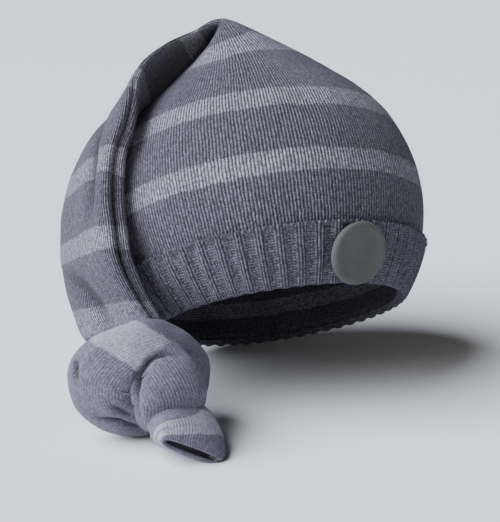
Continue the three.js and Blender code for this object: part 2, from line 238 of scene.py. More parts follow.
# One object from skins laid in millimetres about the crown's centre
def addPiece(name, skins, materials, replaced):
    kinds = ("points", "stitch", "creaseShadeMask", "slot")
    joined = {kind: np.concatenate([skin[kind] for skin in skins]) for kind in kinds}
    counts = np.cumsum([0] + [len(skin["points"]) for skin in skins])
    points = (joined["points"] + crownCentre) / 1000
    faces = np.concatenate([skin["faces"] + count for skin, count in zip(skins, counts)])
    mesh = bpy.data.meshes.new(name)
    mesh.from_pydata(points.tolist(), [], faces.tolist())
    mesh.uv_layers.new(name="stitch").data.foreach_set("uv", joined["stitch"].ravel())
    # the mask of painted crease shade, read by the knit material
    mesh.attributes.new("creaseShadeMask", "FLOAT", "POINT").data.foreach_set("value", joined["creaseShadeMask"])
    mesh.polygons.foreach_set("material_index", joined["slot"])
    mesh.polygons.foreach_set("use_smooth", [True] * len(faces))
    for material in materials:
        mesh.materials.append(material)
    mesh.validate()
    piece = bpy.data.objects.new(name, mesh)
    bpy.context.scene.collection.objects.link(piece)
    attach(piece, "root")
    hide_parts(*replaced)
    print(name, len(faces) * 2, "triangles")


def linearColour(hexValue):
    parts = [int(hexValue[i:i + 2], 16) / 255 for i in (1, 3, 5)]
    parts = [p / 12.92 if p <= 0.04045 else ((p + 0.055) / 1.055) ** 2.4 for p in parts]
    return (*parts, 1.0)


def addNode(tree, kind, sockets=None, give=0, **settings):
    node = tree.nodes.new(kind)
    for key, value in settings.items():
        setattr(node, key, value)
    for key, value in (sockets or {}).items():
        if isinstance(value, bpy.types.NodeSocket):
            tree.links.new(value, node.inputs[key])
        else:
            node.inputs[key].default_value = value
    return node.outputs[give] if node.outputs else node


def startMaterial(name):
    material = bpy.data.materials.new(name)
    material.use_nodes = True
    tree = material.node_tree
    tree.nodes.clear()
    return material, tree


# Settings of a mix node that mixes colours
asColour = {"give": 2, "data_type": "RGBA"}


# Cotton yarn, machine-knitted in plain jersey: matt, softly hairy, columns of small V stitches on
# the face and rows of purl bumps on the back, in yarn heathered from pale and dark fibres
jersey = {
    "darkYarn": "#646070",
    "lightYarn": "#9997a6",
    "deepFleck": "#383641",
    "paleFleck": "#a9a9b5",
    "sheen": "#d8dbe6",
    "stripeRepeat": 27.0,   # courses from one light stripe to the next, at 1 mm each
    "lightCourses": 8.5,
    "stripeEdge": 0.02,     # share of the repeat over which a stripe changes
    "fleckSize": 0.42,      # mm; drawn coarser than a fibre, so that it shows
    "tuftSize": 1.1,        # mm; the yarn's own thick and thin places
    "wanderScale": 420.0,   # cells a metre; how soon a stitch strays from the next
    "driftScale": 90.0,     # cells a metre; how soon rows of stitches stray
    "cloudScale": 60.0,     # cells a metre; uneven dye
    "hairHeight": 0.35,     # of a stitch's own height
    # painted shade: how much darker the colour is made at the bottom of a crease
    "creaseShade": 0.75,    # how much darker the bottom of a crease is
    # how far a stitch's arms slope, how deep it is nicked between courses and between wales
    "face": {"slope": -0.55, "betweenCourses": 0.38, "gapPower": 1.15, "betweenWales": 1.0},
    "purl": {"slope": 0.45, "betweenCourses": 1.0, "gapPower": 3.0, "betweenWales": 0.45},
    # painted shade of gaps and of stitches, relief in mm, unevenness of the yarn and share of dark fibres;
    # rubbing closes up the gaps of the worn cloth on the knot
    "fresh": {"gapShade": 0.03, "topShade": 1.0, "depth": 0.5, "tufts": 0.44, "deepShare": 0.8},
    "worn": {"gapShade": 0.8, "topShade": 0.95, "depth": 0.12, "tufts": 0.18, "deepShare": 0.5},
}
maths = "ShaderNodeMath"


# Where a point lies in its stitch; the yarn wanders a little, so no two stitches match
def stitchPlace(tree, place):
    stitch = addNode(tree, "ShaderNodeUVMap", uv_map="stitch")
    wale = addNode(tree, "ShaderNodeSeparateXYZ", {0: stitch}, give="X")
    course = addNode(tree, "ShaderNodeSeparateXYZ", {0: stitch}, give="Y")
    wander = addNode(tree, "ShaderNodeTexNoise",
                     {"Vector": place, "Scale": jersey["wanderScale"], "Detail": 1.0})
    drift = addNode(tree, "ShaderNodeTexNoise",
                    {"Vector": place, "Scale": jersey["driftScale"], "Detail": 1.0})
    sway = addNode(tree, maths, {0: wander, 1: 0.5}, operation="SUBTRACT")
    lean = addNode(tree, maths, {0: drift, 1: 0.5}, operation="SUBTRACT")
    swayed = addNode(tree, maths, {0: sway, 1: 0.42, 2: wale}, operation="MULTIPLY_ADD")
    swayed = addNode(tree, maths, {0: lean, 1: 0.5, 2: swayed}, operation="MULTIPLY_ADD")
    inWale = addNode(tree, maths, {0: swayed}, operation="FRACT")
    fromMiddle = addNode(tree, maths, {0: inWale, 1: 0.5}, operation="SUBTRACT")
    fromMiddle = addNode(tree, maths, {0: fromMiddle}, operation="ABSOLUTE")
    return {
        "course": course,
        "sway": sway,
        "lean": lean,
        "rising": addNode(tree, maths, {0: sway, 1: 0.9, 2: course}, operation="MULTIPLY_ADD"),
        "toGap": addNode(tree, maths, {0: fromMiddle, 1: 2.0}, operation="MULTIPLY"),  # 1 in the gap
    }


# On the face each wale is two slanted legs, so the courses climb away from its middle; on the back
# the bumps lie across the wales
def stitchHeight(tree, at, shape):
    slope = addNode(tree, maths, {0: at["toGap"], 1: shape["slope"], 2: at["rising"]},
                    operation="MULTIPLY_ADD")
    inCourse = addNode(tree, maths, {0: slope}, operation="FRACT")
    strand = addNode(tree, maths, {0: inCourse, 1: 0.5}, operation="SUBTRACT")
    strand = addNode(tree, maths, {0: strand}, operation="ABSOLUTE")
    strand = addNode(tree, maths, {0: strand, 1: 2.0}, operation="MULTIPLY")
    strand = addNode(tree, maths, {0: strand, 1: 2.0}, operation="POWER")
    strand = addNode(tree, maths, {0: strand, 1: -shape["betweenCourses"], 2: 1.0}, operation="MULTIPLY_ADD")
    gap = addNode(tree, maths, {0: at["toGap"], 1: shape["gapPower"]}, operation="POWER")
    ridge = addNode(tree, maths, {0: gap, 1: -shape["betweenWales"], 2: 1.0}, operation="MULTIPLY_ADD")
    return addNode(tree, maths, {0: ridge, 1: strand}, operation="MULTIPLY")


# Light stripes change at a course, so their edges step with the stitches
def stripes(tree, at):
    edge = addNode(tree, maths, {0: at["sway"], 1: 1.2, 2: at["course"]}, operation="MULTIPLY_ADD")
    edge = addNode(tree, maths, {0: at["lean"], 1: 1.6, 2: edge}, operation="MULTIPLY_ADD")
    beat = addNode(tree, maths, {0: edge, 1: jersey["stripeRepeat"]}, operation="DIVIDE")
    beat = addNode(tree, maths, {0: beat}, operation="FRACT")
    share, blur = jersey["lightCourses"] / jersey["stripeRepeat"], jersey["stripeEdge"]
    start = addNode(tree, "ShaderNodeMapRange", {"Value": beat, "From Min": 0.0, "From Max": blur})
    stop = addNode(tree, "ShaderNodeMapRange", {"Value": beat, "From Min": share + blur, "From Max": share})
    return addNode(tree, maths, {0: start, 1: stop}, operation="MULTIPLY")


# Heathered yarn: pale and dark fibres spun together, seen as flecks along each stitch
def heathered(tree, yarn, fleck, deepShare):
    pale = addNode(tree, "ShaderNodeMapRange",
                   {"Value": fleck, "From Min": 0.52, "From Max": 0.8, "To Max": 0.6})
    deep = addNode(tree, "ShaderNodeMapRange",
                   {"Value": fleck, "From Min": 0.48, "From Max": 0.28, "To Max": deepShare})
    paleFleck, deepFleck = linearColour(jersey["paleFleck"]), linearColour(jersey["deepFleck"])
    mixed = addNode(tree, "ShaderNodeMix", {0: pale, 6: yarn, 7: paleFleck}, **asColour)
    return addNode(tree, "ShaderNodeMix", {0: deep, 6: mixed, 7: deepFleck}, **asColour)


# Painted shade in the gaps between stitches and down in creases, with uneven dye and thick and thin yarn
def knitShade(tree, place, height, wear):
    cloud = addNode(tree, "ShaderNodeTexNoise",
                    {"Vector": place, "Scale": jersey["cloudScale"], "Detail": 2.0})
    tuft = addNode(tree, "ShaderNodeTexNoise",
                   {"Vector": place, "Scale": 1000 / jersey["tuftSize"], "Detail": 1.0})
    creaseShadeMask = addNode(tree, "ShaderNodeAttribute", attribute_name="creaseShadeMask", give="Fac")
    # painted shade: the colour darkens from the tops of the stitches down into the gaps between them
    shade = addNode(tree, "ShaderNodeMapRange",
                    {"Value": height, "From Min": 0.0, "From Max": 0.88,
                     "To Min": wear["gapShade"], "To Max": wear["topShade"]})
    wash = addNode(tree, "ShaderNodeMapRange",
                   {"Value": cloud, "From Min": 0.3, "From Max": 0.7, "To Min": 0.9, "To Max": 1.08})
    thick = addNode(tree, "ShaderNodeMapRange",
                    {"Value": tuft, "From Min": 0.32, "From Max": 0.68,
                     "To Min": 1 - wear["tufts"], "To Max": 1 + wear["tufts"]})
    # painted shade down in creases, from the mask laid on the mesh
    paintedCreaseShade = addNode(tree, maths, {0: creaseShadeMask, 1: -jersey["creaseShade"], 2: 1.0}, operation="MULTIPLY_ADD")
    for part in (wash, thick, paintedCreaseShade):
        shade = addNode(tree, maths, {0: shade, 1: part}, operation="MULTIPLY")
    return shade


def makeJersey(name, side, striped, wear="fresh"):
    material, tree = startMaterial(name)
    wear = jersey[wear]
    place = addNode(tree, "ShaderNodeTexCoord", give="Object")
    at = stitchPlace(tree, place)
    height = stitchHeight(tree, at, jersey[side])
    fleck = addNode(tree, "ShaderNodeTexNoise",
                    {"Vector": place, "Scale": 1000 / jersey["fleckSize"], "Detail": 2.0, "Roughness": 0.7})
    yarn = linearColour(jersey["darkYarn"])
    if striped:
        lightYarn = linearColour(jersey["lightYarn"])
        yarn = addNode(tree, "ShaderNodeMix", {0: stripes(tree, at), 6: yarn, 7: lightYarn}, **asColour)
    mixed = heathered(tree, yarn, fleck, wear["deepShare"])
    shade = knitShade(tree, place, height, wear)
    colour = addNode(tree, "ShaderNodeVectorMath", {0: mixed, "Scale": shade}, operation="SCALE")
    hair = addNode(tree, maths, {0: fleck, 1: jersey["hairHeight"], 2: height}, operation="MULTIPLY_ADD")
    relief = addNode(tree, "ShaderNodeBump",
                     {"Height": hair, "Strength": 1.0, "Distance": wear["depth"] / 1000})
    shader = addNode(tree, "ShaderNodeBsdfPrincipled", {
        "Base Color": colour, "Normal": relief, "Roughness": 0.92, "IOR": 1.5,
        "Specular IOR Level": 0.25, "Sheen Weight": 0.12, "Sheen Roughness": 0.5,
        "Sheen Tint": linearColour(jersey["sheen"]),
    })
    addNode(tree, "ShaderNodeOutputMaterial", {"Surface": shader})
    return material


stripedFace = makeJersey("heatheredCottonJerseyFace", "face", striped=True)
stripedBack = makeJersey("heatheredCottonJerseyBack", "purl", striped=True)
stripedWorn = makeJersey("heatheredCottonJerseyRubbed", "face", striped=True, wear="worn")
ribKnit = makeJersey("heatheredCottonRibRaised", "face", striped=False)
ribPurl = makeJersey("heatheredCottonRibSunken", "purl", striped=False)
print("knit materials made")


# The crown: a ball that is drawn up into the folded peak, then on into the tail as one tube
crown = {
    "sides": 240,
    "ballRings": 51,
    "drawnRings": 64,
    "wales": 312,          # all the way round, 1.26 mm each
    "hem": 1.6,            # degrees that the rim keeps clear of the cuff's edge
    "drawLatitude": 27,
    "peakFront": (-0.27, 0.03, 1.2),
    "peakBack": (-0.275, 0.64, 1.12),
    "peakFullness": 0.2,   # of the tail's thickness, how far the peak stands open
    "peakSquareness": 1.5,
    # degrees round, degrees up where it leaves the ball, share of the radius that it runs straight on
    "quarters": [(0, 31, 0.42), (90, 46, 0.5), (180, 45, 0.4), (270, 56, 0.36)],
    # courses at degrees up: stripes are counted in courses, and the drawn-up cloth is stretched
    "coursesAtLatitude": [(-42, -41.0), (-4, 0.0), (3.5, 8.5), (20.5, 27.0), (27, 34.0)],
    "coursesAtPeak": 73.0,
    "waves": [(0.35, 16.0, 1), (0.12, 5.0, 2)],    # height and size in mm, and seed
    "stillRings": 30,      # rings that the waves leave alone, as the cuff covers them
    # about the crown's centre in shares of the ball's radius
    "creases": [
        {"line": [(-0.36, 1.17), (-0.47, 1.08), (-0.62, 1.0), (-0.7, 0.94)], "width": 1.3, "height": -0.9},
        {"line": [(-0.22, 1.17), (-0.1, 1.1), (0.02, 1.0)], "width": 2.2, "height": 0.7},
        {"line": [(-0.97, 0.6), (-1.0, 0.42), (-1.01, 0.2), (-1.0, -0.05)], "width": 2.0, "height": -2.2},
        {"line": [(-1.18, -0.36), (-1.06, -0.43), (-0.95, -0.53), (-0.86, -0.64)],
         "width": 2.4, "height": -2.2},
        {"line": [(-1.14, -0.5), (-1.0, -0.58), (-0.86, -0.74)], "width": 2.0, "height": 0.8},
    ],
    "creasesTurn": -0.25,
}
tail = {
    "thickness": 9.6,
    "groove": 5.0,
    "squareness": 3.4,
    "rings": 150,
    "firstStation": 0.25,
    "setOff": 1.2,         # stations over which it turns from its start, straight left, to its own way
    "wales": 116,
    "wedge": 0.28,         # thicker at the tucked edge, thinner at the back
    # front and back edge in shares of the ball's radius, shares of thickness and groove, course,
    # and how many courses the stripes slant up to the front edge and down to the back
    "sections": [
        ((-0.28, 0.03, 1.2), (-0.285, 0.64, 1.12), 0.4, 0, 74, 0),
        ((-0.43, -0.02, 1.13), (-0.4, 0.6, 0.955), 0.42, 0, 84, 0),
        ((-0.58, -0.09, 1.07), (-0.53, 0.53, 0.83), 0.42, 0, 95, 0),
        ((-0.68, -0.17, 1), (-0.65, 0.46, 0.7), 0.45, 0, 103, 0),
        ((-0.755, -0.27, 0.89), (-0.77, 0.39, 0.61), 0.55, 0.1, 110, 1),
        ((-0.765, -0.42, 0.77), (-0.925, 0.29, 0.55), 0.85, 0.35, 118, 3),
        ((-0.785, -0.545, 0.64), (-1.05, 0.2, 0.46), 0.92, 0.8, 125, 4.5),
        ((-0.835, -0.595, 0.49), (-1.13, 0.11, 0.335), 1, 1, 132, 4.5),
        ((-0.845, -0.66, 0.345), (-1.195, 0, 0.17), 1.08, 1, 141.5, 4),
        ((-0.84, -0.725, 0.22), (-1.22, -0.09, 0.03), 1.12, 1, 151, 3),
        ((-0.815, -0.83, 0.1), (-1.22, -0.21, -0.1), 1.12, 1, 160.5, 2),
        ((-0.79, -0.9, -0.035), (-1.21, -0.3, -0.24), 1.12, 1, 171, 1.5),
        ((-0.735, -0.98, -0.155), (-1.17, -0.42, -0.36), 1.1, 1, 181, 1),
        ((-0.655, -1.06, -0.28), (-1.11, -0.58, -0.48), 1.05, 0.9, 190, 0),
        ((-0.58, -1.12, -0.39), (-1, -0.82, -0.58), 1.1, 0.6, 198, 0),
        ((-0.6, -1.2, -0.52), (-0.8, -1.06, -0.58), 1.1, 0.2, 205, 0),
    ],
}
# Wales are dropped in a few rounds as the tube narrows, as a knitter decreases: millimetres round
# and wales
decreases = [(300, crown["wales"]), (235, 248), (180, 192), (130, 150), (0, tail["wales"])]


# One of the four lines up from the ball to the peak: an arc off the ball, then a slack curve
def quarterLine(around, leaves, straight, end, shares):
    longitude = around - cap["tailTurn"]
    draw = crown["drawLatitude"]
    climb = [unit(ballPoint(1, at + 0.5, longitude) - ballPoint(1, at, longitude)) for at in (draw, leaves)]
    start, leave = ballPoint(ballSize, draw, longitude), ballPoint(ballSize, leaves, longitude)
    bulge = ballSize * math.tan(math.radians((leaves - draw) / 2))
    curves = [(start, start + climb[0] * bulge, leave), (leave, leave + climb[1] * straight * ballSize, end)]
    t = np.linspace(0, 1, 200)[:, None]
    line = np.concatenate([(1 - t) ** 2 * a + 2 * t * (1 - t) * b + t ** 2 * c for a, b, c in curves])
    reach = np.concatenate([[0], np.cumsum(np.linalg.norm(np.diff(line, axis=0), axis=1))])
    return np.stack([np.interp(shares * reach[-1], reach, line[:, i]) for i in range(3)], axis=-1)


def crownGrid():
    sides = crown["sides"]
    around = np.arange(sides) * 360 / sides - cap["tailTurn"]
    start, draw = cap["rimLatitude"] + crown["hem"], crown["drawLatitude"]
    latitudes = np.linspace(start, draw, crown["ballRings"] + 1)[:-1]
    rings = [ballPoint(ballSize, latitude, around) for latitude in latitudes]
    courses = list(np.interp(latitudes, *zip(*crown["coursesAtLatitude"])))
    front, back = placed(crown["peakFront"]), placed(crown["peakBack"])
    rise = np.array([0, 0, crown["peakFullness"] * tail["thickness"]])
    middle = (front + back) / 2
    shares = np.linspace(0, 1, crown["drawnRings"])
    ends = [front, middle + rise, back, middle - rise]
    lines = [quarterLine(*row, end, shares) for row, end in zip(crown["quarters"], ends)]
    for share, f, o, b, i in zip(shares, *lines):
        bow = (f + b - o - i) / 4
        squareness = 2 + crown["peakSquareness"] * share ** 3
        rings.append(section((f + o + b + i) / 4, (f - b) / 2, (o - i) / 2, bow, squareness, 0, sides))
        courses.append(np.interp(share, [0, 1], [crown["coursesAtLatitude"][-1][1], crown["coursesAtPeak"]]))
    return np.array(rings), np.repeat(np.array(courses)[:, None], sides + 1, axis=1)


def tailGrid():
    stations = np.linspace(tail["firstStation"], len(tail["sections"]) - 1, tail["rings"])
    fronts, backs, thicks, tucks, courses, slants = zip(*tail["sections"])
    fronts, backs = threaded(placed(fronts), stations), threaded(placed(backs), stations)
    thicks, tucks = threaded(thicks, stations), threaded(tucks, stations)
    courses, slants = threaded(courses, stations), threaded(slants, stations)
    middles = (fronts + backs) / 2
    runs = runOf(middles)
    start = headed((-1, 0, 0))
    rings = []
    for k, middle in enumerate(middles):
        forward = fronts[k] - middle
        run = unit(start * max(0, 1 - stations[k] / tail["setOff"]) + runs[k])
        outward = unit(np.cross(run, forward)) * tail["thickness"] * thicks[k] / 2
        groove, wedge = tail["groove"] * tucks[k], tail["wedge"] * tucks[k]
        rings.append(section(middle, forward, outward, 0, tail["squareness"], groove, crown["sides"], wedge))
    return np.array(rings), courses[:, None] + slants[:, None] * frontShare(crown["sides"])


# Evens out the rings about a row
def calmed(grid, row, reach=9.0, rounds=6):
    near = np.exp(-((np.arange(len(grid)) - row) / reach) ** 2)[:, None, None]
    for _ in range(rounds):
        calm = grid.copy()
        calm[1:-1] = (grid[:-2] + grid[2:]) / 4 + grid[1:-1] / 2
        grid = grid * (1 - near) + calm * near
    return grid


def makeCap():
    crownRings, crownCourses = crownGrid()
    tailRings, tailCourses = tailGrid()
    print("crown and tail sections", len(crownRings), len(tailRings))
    join = len(crownRings)
    outside = calmed(np.concatenate([crownRings, tailRings]), join)
    courses = np.concatenate([crownCourses, tailCourses])
    outside, creaseShadeMask = creased(outside, np.zeros(3), ballSize, crown["creases"], crown["creasesTurn"])
    lift = unevenness(outside, crown["waves"])
    lift[:crown["stillRings"]] = 0
    outside = outside + gridNormals(outside) * lift[..., None]
    lengths = ringLengths(outside)
    wales = np.array([next(count for least, count in decreases if length >= least) for length in lengths])
    # the inside follows every second ring, from just under the peak down to the rim
    inner = np.arange(0, join - 6, 2)[::-1]
    inside = (outside - gridNormals(outside) * cap["wall"])[inner]
    shell = np.concatenate([inside, outside])
    skin = gridSkin(shell, np.concatenate([wales[inner], wales]), np.concatenate([courses[inner], courses]),
                    np.concatenate([0 * creaseShadeMask[inner], creaseShadeMask]))
    skin["slot"] = np.repeat(np.arange(len(shell) - 1) < len(inside), crown["sides"]).astype(int)
    addPiece("striped_cap", [skin], [stripedFace, stripedBack], ["crown", "tail"])


makeCap()


# The cuff: three wales of knit stand up and three of purl sink back, over and over
cuff = {
    "ribs": 52,
    "stepsPerRib": 16,
    "walesPerRib": 6,
    "purlSteps": (4, 12),   # of a rib's steps, the ones that sink back
    "ribSharpness": 0.55,   # 1 is a plain wave, 0 a square one
    "thickness": 1.3,
    "relief": 1.05,
    "bandRings": 26,
    "lowerEdge": -30,       # degrees up where the inside layer ends
    "edgeBead": 0.25,       # how far the cast-on edge stands out
    "stitchBead": 0.22,     # how far each loop of that edge stands out from the next
    "stitchRise": 0.28,     # degrees that each loop rises
    "loopsPerRib": 3,
    "waves": [(0.12, 14.0, 3)],
}


def cuffGrid():
    sides = cuff["ribs"] * cuff["stepsPerRib"]
    longitude = np.arange(sides) * 360 / sides
    phase = np.arange(sides) / cuff["stepsPerRib"]
    top, rim, tight, wall = cap["cuffTopLatitude"], cap["rimLatitude"], cap["clearance"], cap["wall"]
    base = tight + cuff["thickness"]
    # degrees up, height over the ball, shares of the ribs and of the edge's bead
    rows = [(top, tight, 0, 0), (top + 0.45, tight + 0.5, 0, 0.3), (top + 0.55, base - 0.3, 0.2, 1),
            (top + 0.2, base + 0.25, 0.3, 1), (top - 0.35, base + 0.3, 0.45, 0.8),
            (top - 0.9, base + 0.05, 0.6, 0.2), (top - 1.4, base, 0.85, 0)]
    rows += [(latitude, base, 1, 0) for latitude in np.linspace(top - 2, rim + 1.6, cuff["bandRings"])]
    rows += [(rim + 0.8, base - 0.1, 0.95, 0), (rim + 0.2, base - 0.4, 0.8, 0),
             (rim - 0.25, base - 1.0, 0.6, 0), (rim - 0.4, 0, 0.4, 0), (rim - 0.35, -1.2, 0.3, 0),
             (rim - 0.1, -wall, 0.2, 0), (rim + 1.1, -wall, 0, 0), (rim + 1.1, tight, 0, 0),
             (cuff["lowerEdge"], tight, 0, 0), (top, tight, 0, 0)]
    swing = np.cos(2 * np.pi * phase)
    ribs = cuff["relief"] / 2 * np.sign(swing) * np.abs(swing) ** cuff["ribSharpness"]
    loops = np.cos(2 * np.pi * phase * cuff["loopsPerRib"])
    rings = []
    for latitude, height, ribbed, bead in rows:
        lift = ribs * ribbed + bead * (cuff["edgeBead"] + cuff["stitchBead"] * loops)
        up = latitude + bead * cuff["stitchRise"] * loops
        rings.append(ballPoint(ballSize + height + lift, up, longitude))
    grid = np.array(rings)
    waved = unevenness(grid, cuff["waves"]) * np.array([0.2 + ribbed for _, _, ribbed, _ in rows])[:, None]
    return grid + gridNormals(grid) * waved[..., None]


def makeCuff():
    rings = cuffGrid()
    skin = gridSkin(rings[::-1], cuff["ribs"] * cuff["walesPerRib"], evenCourses(rings))
    column = np.tile(np.arange(rings.shape[1]), len(rings) - 1) % cuff["stepsPerRib"]
    first, last = cuff["purlSteps"]
    skin["slot"] = np.where((column >= first) & (column < last), 1, 0)
    addPiece("ribbed_cuff", [skin], [ribKnit, ribPurl], ["cuff"])


makeCuff()


# The knot: the tail's own strand, wound round itself
knot = {
    "middle": (-0.695, -1.24, -0.655),
    "size": 20.0,
    "strandWidth": 21.0,
    "strandThickness": 12.5,
    "squareness": 2.4,
    "sides": 128,
    "rings": 260,
    "core": 0.72,
    "coreRings": 40,
    "coreSides": 96,
    "coreWales": 90,
    "firstCourse": 2,
    "stripeSlant": 3.0,    # courses that the stripes lag behind at the strand's upper edge
    "waves": [(0.5, 9.0, 4), (0.18, 4.0, 5)],
    # about the knot's middle in shares of its size, the way that the flat side faces, and shares of
    # width and thickness, and course
    "way": [
        ((-0.2, 0.5, 0.6), (0, -1, 0.3), 0.95, 1.1, 199),
        ((0.12, 0.08, 0.36), (0.1, -1, 0.3), 0.95, 1.1, 201),
        ((0.4, -0.43, 0.27), (0.2, -0.95, 0.3), 1.12, 1.15, 203),
        ((0.59, -0.62, -0.03), (0.35, -0.95, 0.1), 1.18, 1.2, 206),
        ((0.54, -0.44, -0.4), (0.2, -0.8, -0.5), 1.05, 1.1, 209),
        ((0.5, 0.05, -0.52), (0, -0.2, -1), 0.95, 1.1, 214),
        ((0.68, 0.4, -0.38), (0.6, 0.7, -0.4), 0.95, 1.1, 222),
        ((0.74, 0.52, 0.05), (0.7, 0.7, 0), 1.05, 1.2, 229),
        ((0.62, 0.3, 0.45), (0.6, 0.3, 0.7), 1.05, 1.1, 234),
        ((0.36, -0.14, 0.58), (0.3, -0.65, 0.75), 1.04, 1.05, 241.5),
        ((-0.12, -0.38, 0.5), (-0.15, -0.85, 0.5), 1.05, 1.05, 248),
        ((-0.46, -0.44, 0.22), (-0.32, -0.95, 0.1), 1.18, 1.15, 256),
        ((-0.46, -0.42, -0.1), (-0.34, -0.93, -0.1), 1.14, 1.2, 261),
        ((-0.24, -0.36, -0.36), (-0.2, -0.9, -0.4), 1.04, 1.15, 265),
        ((0.26, -0.26, -0.46), (0.1, -0.85, -0.5), 0.95, 0.95, 269),
    ],
    # about the knot's middle in shares of its size: the deep crease where the lobe lies over the
    # wrap, a short one at the left, and two where the loops are pulled together below
    "creases": [
        {"line": [(0.9, 0.45), (0.58, 0.52), (0.32, 0.4), (0.12, 0.12), (0.06, -0.14), (0.08, -0.36),
                  (0.15, -0.66)],
         "width": 1.1, "height": -2.2},
        {"line": [(-0.92, 0.4), (-0.94, 0.2), (-0.9, 0.03)], "width": 1.0, "height": -1.6},
        {"line": [(-0.62, -0.6), (-0.2, -0.66), (0.2, -0.85)], "width": 1.2, "height": -2.0},
        {"line": [(-0.34, -0.36), (0.0, -0.56)], "width": 1.4, "height": -1.0},
    ],
    "creasesTurn": 0.35,
}
knotMiddle = placed(knot["middle"])


def strandGrid():
    at, face, wide, thick, courses = zip(*knot["way"])
    stations = np.linspace(0, len(at) - 1, knot["rings"])
    middles = threaded(headed(at) * knot["size"], stations)
    faces = threaded(headed(face), stations)
    wide, thick = threaded(wide, stations), threaded(thick, stations)
    runs = runOf(middles)
    rings = []
    for k, middle in enumerate(middles):
        outward = unit(faces[k] - runs[k] * (faces[k] @ runs[k]))
        forward = np.cross(outward, runs[k])
        outward = outward * knot["strandThickness"] * thick[k] / 2
        forward = forward * knot["strandWidth"] * wide[k] / 2
        rings.append(section(middle, forward, outward, 0, knot["squareness"], 0, knot["sides"]))
    courses = threaded(courses, stations)[:, None] + knot["firstCourse"]
    return np.array(rings) + knotMiddle, courses + knot["stripeSlant"] * frontShare(knot["sides"])


def makeKnot():
    strand, courses = strandGrid()
    strand = strand + gridNormals(strand) * unevenness(strand, knot["waves"])[..., None]
    strand, creaseShadeMask = creased(strand, knotMiddle, knot["size"], knot["creases"], knot["creasesTurn"])
    wales = round(ringLengths(strand).mean())    # one a millimetre
    creaseShadeMask = np.pad(creaseShadeMask, ((1, 1), (0, 0)))
    strandSkin = gridSkin(closedEnds(strand), wales, paddedEnds(courses), creaseShadeMask)
    around = np.arange(knot["coreSides"]) * 360 / knot["coreSides"]
    latitudes = np.linspace(-89, 89, knot["coreRings"])
    core = np.array([ballPoint(knot["core"] * knot["size"], at, around) for at in latitudes]) + knotMiddle
    coreSkin = gridSkin(core, knot["coreWales"], evenCourses(core))
    addPiece("knot_of_tail", [strandSkin, coreSkin], [stripedWorn], ["knot"])


makeKnot()


# The short end past the knot: a flattened tube with an open mouth and a fold along its right edge
tailEnd = {
    "width": 22.0,
    "thickness": 9.0,
    "tuck": 4.0,
    "squareness": 2.6,
    "lip": 1.7,
    "lipRound": 0.7,
    "rings": 60,
    "insideRings": 24,     # how far the open mouth goes in
    "sides": 128,
    "wales": 58,
    "stripeSlant": 4.5,    # courses that the stripes run nearer to the mouth at the left edge
    # middle, heading of the right edge, shares of width, thickness and tuck, course
    "sections": [
        ((0.5, -0.42, -0.36), (0.95, -0.1, -0.15), 0.78, 1.4, 0, 260),
        ((0.75, -0.72, -0.48), (0.9, -0.15, -0.3), 0.98, 1.6, 0.7, 266.5),
        ((0.9, -1, -0.6), (0.82, -0.25, -0.45), 1.14, 1.5, 1, 272),
        ((0.97, -1.22, -0.67), (0.8, -0.25, -0.5), 1.12, 1.1, 0.9, 278.5),
        ((0.99, -1.37, -0.71), (0.8, -0.25, -0.5), 1, 0.6, 0.5, 283.5),
    ],
}


def endGrid(inset, stations):
    middles, edges, wide, thick, tucks, _ = zip(*tailEnd["sections"])
    middles = threaded(headed(middles) * knot["size"], stations) + knotMiddle
    edges = threaded(headed(edges), stations)
    wide, thick, tucks = (threaded(values, stations) for values in (wide, thick, tucks))
    runs = runOf(middles)
    rings = []
    for k, middle in enumerate(middles):
        forward = unit(edges[k] - runs[k] * (edges[k] @ runs[k]))
        outward = np.cross(runs[k], forward)
        forward = forward * (tailEnd["width"] * wide[k] / 2 - inset)
        outward = outward * (tailEnd["thickness"] * thick[k] / 2 - inset)
        tuck = tailEnd["tuck"] * tucks[k]
        rings.append(section(middle, forward, outward, 0, tailEnd["squareness"], tuck, tailEnd["sides"]))
    return np.array(rings)


def makeShortEnd():
    stations = np.linspace(0, len(tailEnd["sections"]) - 1, tailEnd["rings"])
    outside = endGrid(0, stations)
    inside = endGrid(tailEnd["lip"], stations)[::-1]
    ahead = runOf(outside.mean(axis=1))[-1] * tailEnd["lipRound"]
    turns = np.array([0.25, 0.5, 0.75])
    lip = [outside[-1] * (1 - t) + inside[0] * t + ahead * math.sin(math.pi * t) for t in turns]
    shell = np.concatenate([outside, lip, inside[:tailEnd["insideRings"]]])
    courses = threaded([row[-1] for row in tailEnd["sections"]], stations)
    courses = np.concatenate([courses, courses[-1] + 2 * turns, courses[::-1][:tailEnd["insideRings"]]])
    courses = paddedEnds(courses)[:, None] + tailEnd["stripeSlant"] * frontShare(tailEnd["sides"])
    skin = gridSkin(closedEnds(shell), tailEnd["wales"], courses)
    addPiece("short_end", [skin], [stripedWorn], ["tail_end"])


makeShortEnd()


# Wool felt pressed over a button blank: matt, hairy, a little mottled
felt = {
    "base": "#4a4b49",
    "pale": "#696a67",
    "deep": "#3b3c3a",
    "sheen": "#c9ccc8",
    "fibreSize": 0.35,      # mm; drawn coarser than a wool fibre, so that it shows
    "mottleSize": 6.25,     # mm
    "fibreDepth": 0.12,     # mm
}


